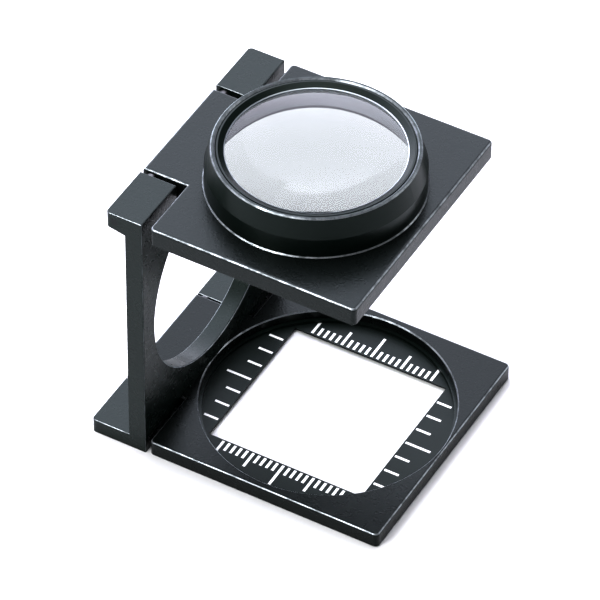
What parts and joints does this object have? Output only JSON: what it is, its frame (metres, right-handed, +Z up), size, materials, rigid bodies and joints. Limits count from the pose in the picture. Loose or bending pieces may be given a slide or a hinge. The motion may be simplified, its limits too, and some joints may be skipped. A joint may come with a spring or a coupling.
{
  "type": "hand lens",
  "caption": "Folding magnifier on three hinged black plates: a lens in a round barrel stands over a square scale window that is laid on fabric, rock or print.",
  "frame": {"origin": "middle of the whole object's footprint, at the level of the underside that it stands on", "axes": "+Z up through the lens; +X the way the base and the lens plate point from the upright; +Y to the left, along both hinge axes"},
  "size_m": [0.0474, 0.0402, 0.0528],
  "materials": {
    "black_paint": "satin black stove enamel on die-cast plates, lightly pebbled, worn bright on the edges",
    "barrel_black": "satin black on a turned barrel, fine circular tool lines",
    "ring_black": "semi-gloss black on thin turned rings, bright on the edges",
    "scale_black": "matt black etched scale plate",
    "white_enamel": "white enamel filling in the etched graduations",
    "bare_aluminium": "satin turned aluminium, uncoated",
    "optical_glass": "polished clear crown glass",
    "pin_steel": "steel pins with blackened ends",
    "washer_steel": "blackened spring steel"
  },
  "bodies": {
    "upright": {"upright_frame": "black_paint", "upper_hinge_pin_left": "pin_steel", "upper_hinge_pin_right": "pin_steel", "lower_hinge_pin_left": "pin_steel", "lower_hinge_pin_right": "pin_steel", "upper_hinge_washer_left": "washer_steel", "upper_hinge_washer_right": "washer_steel", "lower_hinge_washer_left": "washer_steel", "lower_hinge_washer_right": "washer_steel"},
    "base": {"base_plate": "black_paint", "scale_plate": "scale_black", "scale_snap_ring": "ring_black", "millimetre_marks_right": "white_enamel", "millimetre_marks_left": "white_enamel", "eighth_inch_marks_rear": "white_enamel", "eighth_inch_marks_front": "white_enamel"},
    "lens_plate": {"lens_plate": "black_paint", "lens_barrel": "barrel_black", "lens_seat_ring": "bare_aluminium", "magnifying_lens": "optical_glass", "lens_retaining_ring": "ring_black"}
  },
  "joints": [
    {"name": "base_hinge", "type": "hinge", "parent": "upright", "child": "base", "pos_m": [-0.02243, 0, 0.0013], "axis": [0, 1, 0], "range_deg": [0, 270]},
    {"name": "lens_plate_hinge", "type": "hinge", "parent": "upright", "child": "lens_plate", "pos_m": [-0.01908, 0, 0.04355], "axis": [0, -1, 0], "range_deg": [0, 270]}
  ]
}
